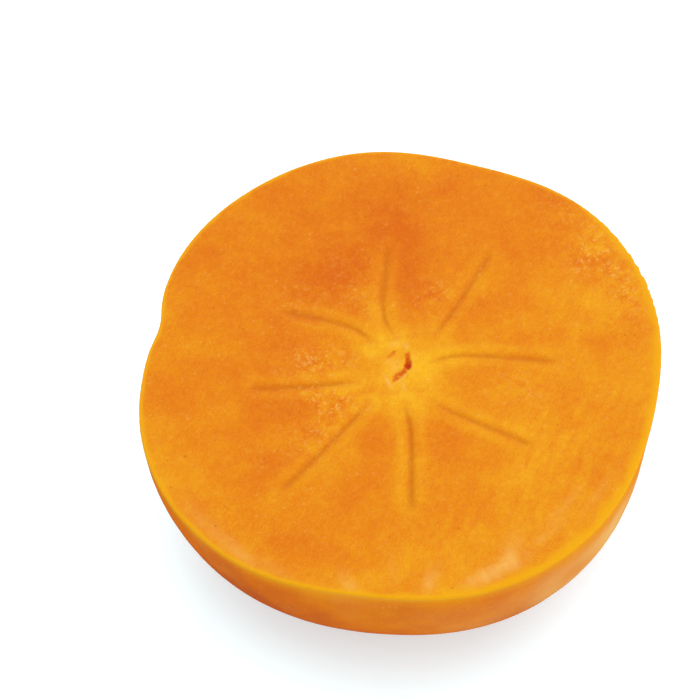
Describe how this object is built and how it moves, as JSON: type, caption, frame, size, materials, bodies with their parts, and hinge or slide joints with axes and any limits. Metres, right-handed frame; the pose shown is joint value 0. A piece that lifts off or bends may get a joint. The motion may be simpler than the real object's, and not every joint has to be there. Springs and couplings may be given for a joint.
{
  "type": "persimmon half",
  "caption": "Blossom-end half of a round, lobed persimmon, cut across its middle, lying cut face up on the small flat spot of its dome.",
  "frame": {"origin": "centre of the footprint, on the plane it rests on", "axes": "+Z along the fruit's axis, from the blossom end up through the cut face; +Y to the back, +X to the right"},
  "size_m": [0.076, 0.0762, 0.0302],
  "materials": {
    "fruit": "moist orange flesh with a soft sheen on the cut, satin orange skin round the dome"
  },
  "bodies": {
    "root": {"persimmon_half": "fruit"}
  },
  "joints": []
}
